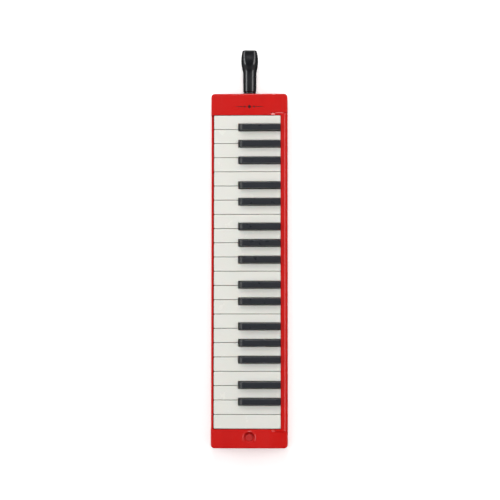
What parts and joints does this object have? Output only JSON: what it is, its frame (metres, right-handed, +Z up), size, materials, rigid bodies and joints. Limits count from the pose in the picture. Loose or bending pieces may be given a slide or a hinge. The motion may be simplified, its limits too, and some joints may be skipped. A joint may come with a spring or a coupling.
{
  "type": "melodica",
  "caption": "Blown free-reed keyboard in a red two-part case, with a pull-out mouthpiece, sprung piano keys, a drain button and a hand strap underneath.",
  "frame": {"origin": "centre of the case's underside", "axes": "+X from the mouthpiece (bass) end to the treble end, +Y from the key fronts to the rear rail, +Z up through the keys"},
  "size_m": [0.543, 0.104, 0.044],
  "materials": {
    "case_shell": "gloss red",
    "white_key": "gloss ivory white",
    "black_key": "satin black",
    "black_plastic": "gloss black",
    "button": "gloss red",
    "chassis": "moulded",
    "seal": "matt",
    "reed_plate": "rolled",
    "reed": "ground",
    "screw": "plated",
    "felt": "felt",
    "strap": "woven webbing"
  },
  "bodies": {
    "case": {"upper_case": "case_shell", "lower_case": "case_shell", "rear_rail": "case_shell", "wind_chest": "chassis", "chest_cover": "chassis", "chest_gasket": "seal", "reed_plate_bass": "reed_plate", "reed_plate_treble": "reed_plate", "reeds": "reed", "reed_rivets": "reed", "reed_plate_screws": "screw", "chest_screws": "screw", "pivot_shaft": "screw", "key_springs": "screw", "key_felt": "felt", "inlet_joint": "black_plastic", "inlet_seal": "seal", "drain_spring": "screw", "case_screws": "screw", "hand_strap": "strap"},
    "mouthpiece_body": {"mouthpiece": "black_plastic"},
    "drain": {"drain_button": "button", "drain_pad": "seal"},
    "key_F3_body": {"key_F3": "white_key"},
    "key_F3_sharp_body": {"key_F3_sharp": "black_key"},
    "key_G3_body": {"key_G3": "white_key"},
    "key_G3_sharp_body": {"key_G3_sharp": "black_key"},
    "key_A3_body": {"key_A3": "white_key"},
    "key_A3_sharp_body": {"key_A3_sharp": "black_key"},
    "key_B3_body": {"key_B3": "white_key"},
    "key_C4_body": {"key_C4": "white_key"},
    "key_C4_sharp_body": {"key_C4_sharp": "black_key"},
    "key_D4_body": {"key_D4": "white_key"},
    "key_D4_sharp_body": {"key_D4_sharp": "black_key"},
    "key_E4_body": {"key_E4": "white_key"},
    "key_F4_body": {"key_F4": "white_key"},
    "key_F4_sharp_body": {"key_F4_sharp": "black_key"},
    "key_G4_body": {"key_G4": "white_key"},
    "key_G4_sharp_body": {"key_G4_sharp": "black_key"},
    "key_A4_body": {"key_A4": "white_key"},
    "key_A4_sharp_body": {"key_A4_sharp": "black_key"},
    "key_B4_body": {"key_B4": "white_key"},
    "key_C5_body": {"key_C5": "white_key"},
    "key_C5_sharp_body": {"key_C5_sharp": "black_key"},
    "key_D5_body": {"key_D5": "white_key"},
    "key_D5_sharp_body": {"key_D5_sharp": "black_key"},
    "key_E5_body": {"key_E5": "white_key"},
    "key_F5_body": {"key_F5": "white_key"},
    "key_F5_sharp_body": {"key_F5_sharp": "black_key"},
    "key_G5_body": {"key_G5": "white_key"},
    "key_G5_sharp_body": {"key_G5_sharp": "black_key"},
    "key_A5_body": {"key_A5": "white_key"},
    "key_A5_sharp_body": {"key_A5_sharp": "black_key"},
    "key_B5_body": {"key_B5": "white_key"},
    "key_C6_body": {"key_C6": "white_key"},
    "key_C6_sharp_body": {"key_C6_sharp": "black_key"},
    "key_D6_body": {"key_D6": "white_key"},
    "key_D6_sharp_body": {"key_D6_sharp": "black_key"},
    "key_E6_body": {"key_E6": "white_key"},
    "key_F6_body": {"key_F6": "white_key"}
  },
  "joints": [
    {"name": "mouthpiece_pull", "type": "slide", "parent": "case", "child": "mouthpiece_body", "axis": [-1, 0, 0], "range_m": [0, 0.04]},
    {"name": "drain_press", "type": "slide", "parent": "case", "child": "drain", "axis": [0, 0, -1], "range_m": [0, 0.002], "stiffness_N_per_m": 400, "springref_m": -0.003, "deforming": ["drain_spring"]},
    {"name": "key_F3_press", "type": "hinge", "parent": "case", "child": "key_F3_body", "pos_m": [0, 0.02, 0.029], "axis": [1, 0, 0], "range_deg": [0, 3.2], "stiffness_Nm_per_rad": 0.3, "springref_deg": -8.59},
    {"name": "key_F3_sharp_press", "type": "hinge", "parent": "case", "child": "key_F3_sharp_body", "pos_m": [0, 0.02, 0.029], "axis": [1, 0, 0], "range_deg": [0, 4.5], "stiffness_Nm_per_rad": 0.3, "springref_deg": -8.59},
    {"name": "key_G3_press", "type": "hinge", "parent": "case", "child": "key_G3_body", "pos_m": [0, 0.02, 0.029], "axis": [1, 0, 0], "range_deg": [0, 3.2], "stiffness_Nm_per_rad": 0.3, "springref_deg": -8.59},
    {"name": "key_G3_sharp_press", "type": "hinge", "parent": "case", "child": "key_G3_sharp_body", "pos_m": [0, 0.02, 0.029], "axis": [1, 0, 0], "range_deg": [0, 4.5], "stiffness_Nm_per_rad": 0.3, "springref_deg": -8.59},
    {"name": "key_A3_press", "type": "hinge", "parent": "case", "child": "key_A3_body", "pos_m": [0, 0.02, 0.029], "axis": [1, 0, 0], "range_deg": [0, 3.2], "stiffness_Nm_per_rad": 0.3, "springref_deg": -8.59},
    {"name": "key_A3_sharp_press", "type": "hinge", "parent": "case", "child": "key_A3_sharp_body", "pos_m": [0, 0.02, 0.029], "axis": [1, 0, 0], "range_deg": [0, 4.5], "stiffness_Nm_per_rad": 0.3, "springref_deg": -8.59},
    {"name": "key_B3_press", "type": "hinge", "parent": "case", "child": "key_B3_body", "pos_m": [0, 0.02, 0.029], "axis": [1, 0, 0], "range_deg": [0, 3.2], "stiffness_Nm_per_rad": 0.3, "springref_deg": -8.59},
    {"name": "key_C4_press", "type": "hinge", "parent": "case", "child": "key_C4_body", "pos_m": [0, 0.02, 0.029], "axis": [1, 0, 0], "range_deg": [0, 3.2], "stiffness_Nm_per_rad": 0.3, "springref_deg": -8.59},
    {"name": "key_C4_sharp_press", "type": "hinge", "parent": "case", "child": "key_C4_sharp_body", "pos_m": [0, 0.02, 0.029], "axis": [1, 0, 0], "range_deg": [0, 4.5], "stiffness_Nm_per_rad": 0.3, "springref_deg": -8.59},
    {"name": "key_D4_press", "type": "hinge", "parent": "case", "child": "key_D4_body", "pos_m": [0, 0.02, 0.029], "axis": [1, 0, 0], "range_deg": [0, 3.2], "stiffness_Nm_per_rad": 0.3, "springref_deg": -8.59},
    {"name": "key_D4_sharp_press", "type": "hinge", "parent": "case", "child": "key_D4_sharp_body", "pos_m": [0, 0.02, 0.029], "axis": [1, 0, 0], "range_deg": [0, 4.5], "stiffness_Nm_per_rad": 0.3, "springref_deg": -8.59},
    {"name": "key_E4_press", "type": "hinge", "parent": "case", "child": "key_E4_body", "pos_m": [0, 0.02, 0.029], "axis": [1, 0, 0], "range_deg": [0, 3.2], "stiffness_Nm_per_rad": 0.3, "springref_deg": -8.59},
    {"name": "key_F4_press", "type": "hinge", "parent": "case", "child": "key_F4_body", "pos_m": [0, 0.02, 0.029], "axis": [1, 0, 0], "range_deg": [0, 3.2], "stiffness_Nm_per_rad": 0.3, "springref_deg": -8.59},
    {"name": "key_F4_sharp_press", "type": "hinge", "parent": "case", "child": "key_F4_sharp_body", "pos_m": [0, 0.02, 0.029], "axis": [1, 0, 0], "range_deg": [0, 4.5], "stiffness_Nm_per_rad": 0.3, "springref_deg": -8.59},
    {"name": "key_G4_press", "type": "hinge", "parent": "case", "child": "key_G4_body", "pos_m": [0, 0.02, 0.029], "axis": [1, 0, 0], "range_deg": [0, 3.2], "stiffness_Nm_per_rad": 0.3, "springref_deg": -8.59},
    {"name": "key_G4_sharp_press", "type": "hinge", "parent": "case", "child": "key_G4_sharp_body", "pos_m": [0, 0.02, 0.029], "axis": [1, 0, 0], "range_deg": [0, 4.5], "stiffness_Nm_per_rad": 0.3, "springref_deg": -8.59},
    {"name": "key_A4_press", "type": "hinge", "parent": "case", "child": "key_A4_body", "pos_m": [0, 0.02, 0.029], "axis": [1, 0, 0], "range_deg": [0, 3.2], "stiffness_Nm_per_rad": 0.3, "springref_deg": -8.59},
    {"name": "key_A4_sharp_press", "type": "hinge", "parent": "case", "child": "key_A4_sharp_body", "pos_m": [0, 0.02, 0.029], "axis": [1, 0, 0], "range_deg": [0, 4.5], "stiffness_Nm_per_rad": 0.3, "springref_deg": -8.59},
    {"name": "key_B4_press", "type": "hinge", "parent": "case", "child": "key_B4_body", "pos_m": [0, 0.02, 0.029], "axis": [1, 0, 0], "range_deg": [0, 3.2], "stiffness_Nm_per_rad": 0.3, "springref_deg": -8.59},
    {"name": "key_C5_press", "type": "hinge", "parent": "case", "child": "key_C5_body", "pos_m": [0, 0.02, 0.029], "axis": [1, 0, 0], "range_deg": [0, 3.2], "stiffness_Nm_per_rad": 0.3, "springref_deg": -8.59},
    {"name": "key_C5_sharp_press", "type": "hinge", "parent": "case", "child": "key_C5_sharp_body", "pos_m": [0, 0.02, 0.029], "axis": [1, 0, 0], "range_deg": [0, 4.5], "stiffness_Nm_per_rad": 0.3, "springref_deg": -8.59},
    {"name": "key_D5_press", "type": "hinge", "parent": "case", "child": "key_D5_body", "pos_m": [0, 0.02, 0.029], "axis": [1, 0, 0], "range_deg": [0, 3.2], "stiffness_Nm_per_rad": 0.3, "springref_deg": -8.59},
    {"name": "key_D5_sharp_press", "type": "hinge", "parent": "case", "child": "key_D5_sharp_body", "pos_m": [0, 0.02, 0.029], "axis": [1, 0, 0], "range_deg": [0, 4.5], "stiffness_Nm_per_rad": 0.3, "springref_deg": -8.59},
    {"name": "key_E5_press", "type": "hinge", "parent": "case", "child": "key_E5_body", "pos_m": [0, 0.02, 0.029], "axis": [1, 0, 0], "range_deg": [0, 3.2], "stiffness_Nm_per_rad": 0.3, "springref_deg": -8.59},
    {"name": "key_F5_press", "type": "hinge", "parent": "case", "child": "key_F5_body", "pos_m": [0, 0.02, 0.029], "axis": [1, 0, 0], "range_deg": [0, 3.2], "stiffness_Nm_per_rad": 0.3, "springref_deg": -8.59},
    {"name": "key_F5_sharp_press", "type": "hinge", "parent": "case", "child": "key_F5_sharp_body", "pos_m": [0, 0.02, 0.029], "axis": [1, 0, 0], "range_deg": [0, 4.5], "stiffness_Nm_per_rad": 0.3, "springref_deg": -8.59},
    {"name": "key_G5_press", "type": "hinge", "parent": "case", "child": "key_G5_body", "pos_m": [0, 0.02, 0.029], "axis": [1, 0, 0], "range_deg": [0, 3.2], "stiffness_Nm_per_rad": 0.3, "springref_deg": -8.59},
    {"name": "key_G5_sharp_press", "type": "hinge", "parent": "case", "child": "key_G5_sharp_body", "pos_m": [0, 0.02, 0.029], "axis": [1, 0, 0], "range_deg": [0, 4.5], "stiffness_Nm_per_rad": 0.3, "springref_deg": -8.59},
    {"name": "key_A5_press", "type": "hinge", "parent": "case", "child": "key_A5_body", "pos_m": [0, 0.02, 0.029], "axis": [1, 0, 0], "range_deg": [0, 3.2], "stiffness_Nm_per_rad": 0.3, "springref_deg": -8.59},
    {"name": "key_A5_sharp_press", "type": "hinge", "parent": "case", "child": "key_A5_sharp_body", "pos_m": [0, 0.02, 0.029], "axis": [1, 0, 0], "range_deg": [0, 4.5], "stiffness_Nm_per_rad": 0.3, "springref_deg": -8.59},
    {"name": "key_B5_press", "type": "hinge", "parent": "case", "child": "key_B5_body", "pos_m": [0, 0.02, 0.029], "axis": [1, 0, 0], "range_deg": [0, 3.2], "stiffness_Nm_per_rad": 0.3, "springref_deg": -8.59},
    {"name": "key_C6_press", "type": "hinge", "parent": "case", "child": "key_C6_body", "pos_m": [0, 0.02, 0.029], "axis": [1, 0, 0], "range_deg": [0, 3.2], "stiffness_Nm_per_rad": 0.3, "springref_deg": -8.59},
    {"name": "key_C6_sharp_press", "type": "hinge", "parent": "case", "child": "key_C6_sharp_body", "pos_m": [0, 0.02, 0.029], "axis": [1, 0, 0], "range_deg": [0, 4.5], "stiffness_Nm_per_rad": 0.3, "springref_deg": -8.59},
    {"name": "key_D6_press", "type": "hinge", "parent": "case", "child": "key_D6_body", "pos_m": [0, 0.02, 0.029], "axis": [1, 0, 0], "range_deg": [0, 3.2], "stiffness_Nm_per_rad": 0.3, "springref_deg": -8.59},
    {"name": "key_D6_sharp_press", "type": "hinge", "parent": "case", "child": "key_D6_sharp_body", "pos_m": [0, 0.02, 0.029], "axis": [1, 0, 0], "range_deg": [0, 4.5], "stiffness_Nm_per_rad": 0.3, "springref_deg": -8.59},
    {"name": "key_E6_press", "type": "hinge", "parent": "case", "child": "key_E6_body", "pos_m": [0, 0.02, 0.029], "axis": [1, 0, 0], "range_deg": [0, 3.2], "stiffness_Nm_per_rad": 0.3, "springref_deg": -8.59},
    {"name": "key_F6_press", "type": "hinge", "parent": "case", "child": "key_F6_body", "pos_m": [0, 0.02, 0.029], "axis": [1, 0, 0], "range_deg": [0, 3.2], "stiffness_Nm_per_rad": 0.3, "springref_deg": -8.59}
  ]
}
